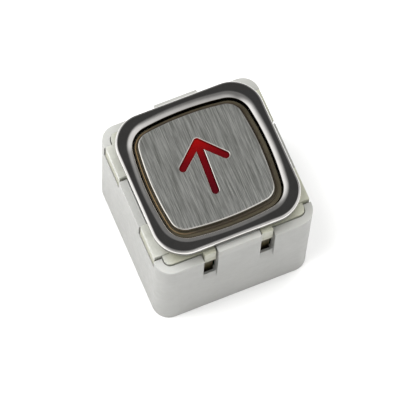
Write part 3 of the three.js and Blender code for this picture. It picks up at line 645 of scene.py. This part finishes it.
# Painted shade: the bezel's side below its rounded edge is darkened, standing in for the dark gap it
# reflects.
POLISHED = steel(
    "polished_steel", (0.67, 0.655, 0.635), (0.58, 0.565, 0.545), (0.07, 0.14),
    painted_shade_below=FLANGE_Z - BEZEL_EDGE,
)
BRUSHED = brushed_steel("brushed_steel", ARROW_LEAN)
RED = arrow_material()
SPRING = steel("spring_steel", (0.55, 0.55, 0.55), (0.38, 0.38, 0.39), (0.22, 0.34))
BLACK = moulded("switch_black", (0.012, 0.012, 0.013), (0.03, 0.03, 0.031), (0.35, 0.5))
GREY = moulded("switch_grey", (0.07, 0.073, 0.078), (0.12, 0.123, 0.13), (0.35, 0.5))
IVORY = moulded("header_ivory", (0.66, 0.61, 0.48), (0.78, 0.73, 0.60), (0.35, 0.5))
TINNED = steel("tinned_brass", (0.74, 0.72, 0.67), (0.56, 0.54, 0.48), (0.2, 0.34))
ZINC = steel("zinc_steel", (0.62, 0.63, 0.64), (0.42, 0.42, 0.40), (0.24, 0.4))
LENS = translucent("lamp_red_lens", (0.5, 0.01, 0.01), (0.75, 0.03, 0.02), 0.5, (0.08, 0.16))
RED_PLUNGER = moulded("plunger_red", (0.36, 0.02, 0.02), (0.5, 0.03, 0.03), (0.3, 0.45))
BOARD = board_material()
RESISTOR = resistor_material()


# ---- Pieces ----


def replace(name, mesh, node, body, material):
    piece = new_piece(name, mesh, body, material)
    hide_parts(node)
    return piece


def build_visible_pieces():
    shell = bevelled("rear_housing", 0.36, 3)
    insert = bevelled("inner_frame", 0.11, grow=FRAME_GROW)
    carrier = bevelled("button_carrier", 0.14)
    replace("bezel", bezel_mesh(), "bezel_ring", "housing", POLISHED)
    replace("pressel", pressel_mesh(), "pressel_plate", "button", BRUSHED)
    replace("arrow", insert_mesh(), "arrow_insert", "button", RED)
    replace("housing_shell", shell, "rear_housing", "housing", WHITE)
    replace("frame_insert", insert, "inner_frame", "housing", OLIVE)
    replace("carrier", carrier, "button_carrier", "button", CHANNEL_BROWN_AND_SHADE)
    new_piece("lit_edge", lit_edge_mesh(), "button", GOLDEN)


def build_springs():
    for index in range(1, 5):
        node = f"return_spring_{index}"
        low, high = box_mm(node)
        mesh = spring_mesh((low + high) / 2, low.z, high.z)
        piece = replace(f"spring_{index}", mesh, node, "housing", SPRING)
        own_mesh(piece)


def build_internals():
    rounded = [
        ("circuit_board", "board", "housing", "green_board", BOARD, 0.05),
        ("switch_base", "switch_body", "housing", "black_plastic", BLACK, 0.15),
        ("switch_cover", "switch_lid", "housing", "grey_plastic", GREY, 0.2),
        ("connector_header", "header", "housing", "ivory_plastic", IVORY, 0.15),
        ("switch_plunger", "plunger", "plunger", "red_plastic", RED_PLUNGER, 0.08),
    ]
    rounded += [(f"board_screw_{i}", f"screw_{i}", "housing", "zinc_steel", ZINC, 0.08) for i in range(1, 5)]
    rounded += [(f"led_{i}", f"lamp_{i}", "housing", "lamp_lens", LENS, 0.08) for i in range(1, 5)]
    rounded += [(f"header_pin_{i}", f"pin_{i}", "housing", "tinned_metal", TINNED, 0.12) for i in range(1, 5)]
    for node, name, body, slot, material, width in rounded:
        replace(name, bevelled(node, width), node, body, material)
    for i in range(1, 4):
        dress(f"switch_terminal_{i}", TINNED)
    for i in range(1, 3):
        dress(f"resistor_{i}", RESISTOR)


def dress(node, material):
    """Gives a node of the frame its material as it stands."""
    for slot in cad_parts[node].material_slots:
        slot.material = material


build_visible_pieces()
build_springs()
build_internals()


# ---- Camera ----

CAMERA_AZIMUTH = math.radians(-26.8646)
CAMERA_ELEVATION = math.radians(68.9554)
CAMERA_ROLL = math.radians(4.4586)
CAMERA_OFFSET = Vector((-0.8446, 5.4531, 1095.42))  # right, up and back from the frame's origin
SENSOR = 36
LENS_LENGTH = 396


def add_camera():
    """The camera at the angle the photograph was taken from."""
    flat = math.cos(CAMERA_ELEVATION)
    back = Vector((
        math.sin(CAMERA_AZIMUTH) * flat,
        -math.cos(CAMERA_AZIMUTH) * flat,
        math.sin(CAMERA_ELEVATION),
    ))
    level = Vector((0, 0, 1)).cross(back).normalized()
    above = back.cross(level)
    right = math.cos(CAMERA_ROLL) * level + math.sin(CAMERA_ROLL) * above
    up = -math.sin(CAMERA_ROLL) * level + math.cos(CAMERA_ROLL) * above
    turn = Matrix((right, up, back)).transposed()
    data = bpy.data.cameras.new("camera")
    data.sensor_width = SENSOR
    data.lens = LENS_LENGTH
    data.clip_start, data.clip_end = 0.01, 20
    camera = bpy.data.objects.new("camera", data)
    camera.matrix_world = Matrix.Translation(turn @ CAMERA_OFFSET * MM) @ turn.to_4x4()
    bpy.context.scene.collection.objects.link(camera)
    bpy.context.scene.camera = camera


# ---- Light and floor ----

FLOOR_GAP = 0.1
LIGHTS_AIM = Vector((0, 0, 0.02))

# Studio surround: (direction towards it, reach in degrees, soft edge in degrees, brightness).
SURROUND_BASE = 0.24
SURROUND = [
    ((-0.935, 0.33, 0.12), 71, 53, 1.4),
    ((0.0, -1.0, 0.35), 60, 50, 0.72),
    ((0.72, -0.36, 0.6), 44, 24, 1.0),
    ((0.17, 0.38, 0.91), 24, 16, 0.06),
]


def add_surround():
    """A soft light tent: bright to the left and front, dim behind, with a dark overhead panel."""
    world = bpy.data.worlds.new("studio")
    world.use_nodes = True
    nodes, links = world.node_tree.nodes, world.node_tree.links
    background = nodes["Background"]
    background.inputs["Color"].default_value = (1, 1, 1, 1)
    direction = nodes.new("ShaderNodeTexCoord").outputs["Generated"]
    level = None
    for towards, reach, edge, brightness in SURROUND:
        dot = nodes.new("ShaderNodeVectorMath")
        dot.operation = "DOT_PRODUCT"
        dot.inputs[1].default_value = Vector(towards).normalized()
        links.new(direction, dot.inputs[0])
        fade = nodes.new("ShaderNodeMapRange")
        fade.interpolation_type = "SMOOTHSTEP"
        fade.inputs["From Min"].default_value = math.cos(math.radians(reach))
        fade.inputs["From Max"].default_value = math.cos(math.radians(max(reach - edge, 0)))
        links.new(dot.outputs["Value"], fade.inputs["Value"])
        mix = nodes.new("ShaderNodeMix")
        mix.data_type = "FLOAT"
        links.new(fade.outputs["Result"], mix.inputs[0])
        if level is None:
            mix.inputs[2].default_value = SURROUND_BASE
        else:
            links.new(level, mix.inputs[2])
        mix.inputs[3].default_value = brightness
        level = mix.outputs[0]
    links.new(level, background.inputs["Strength"])
    bpy.context.scene.world = world


def add_area(name, position, size, power):
    """A soft panel that lights the scene without showing in the polished metal."""
    data = bpy.data.lights.new(name, "AREA")
    data.shape = "SQUARE"
    data.size = size
    data.energy = power
    light = bpy.data.objects.new(name, data)
    light.location = position
    light.visible_glossy = False
    light.rotation_mode = "QUATERNION"
    light.rotation_quaternion = (LIGHTS_AIM - Vector(position)).to_track_quat("-Z", "Y")
    bpy.context.scene.collection.objects.link(light)


def add_floor():
    """A plain pale table top just under the rear face."""
    bm = bmesh.new()
    bmesh.ops.create_grid(bm, x_segments=8, y_segments=8, size=6)
    mesh = bpy.data.meshes.new("floor")
    bm.to_mesh(mesh)
    bm.free()
    floor = bpy.data.objects.new("floor", mesh)
    floor.location.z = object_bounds()[0].z - FLOOR_GAP * MM
    look = Look("floor_pale")
    paint = look.ramp(look.noise(90), [(0.3, (0.80, 0.80, 0.795)), (0.7, (0.83, 0.83, 0.825))])
    look.set("Base Color", paint)
    look.shader.inputs["Roughness"].default_value = 0.9
    look.shader.inputs["Specular IOR Level"].default_value = 0.1
    mesh.materials.append(look.material)
    bpy.context.scene.collection.objects.link(floor)


add_camera()
add_surround()
add_area("key", (-0.42, 0.1, 0.8), 0.6, 8.6)
add_area("fill", (0.3, 0.1, 0.85), 0.6, 6.0)
add_floor()
bpy.context.scene.view_settings.view_transform = "Standard"
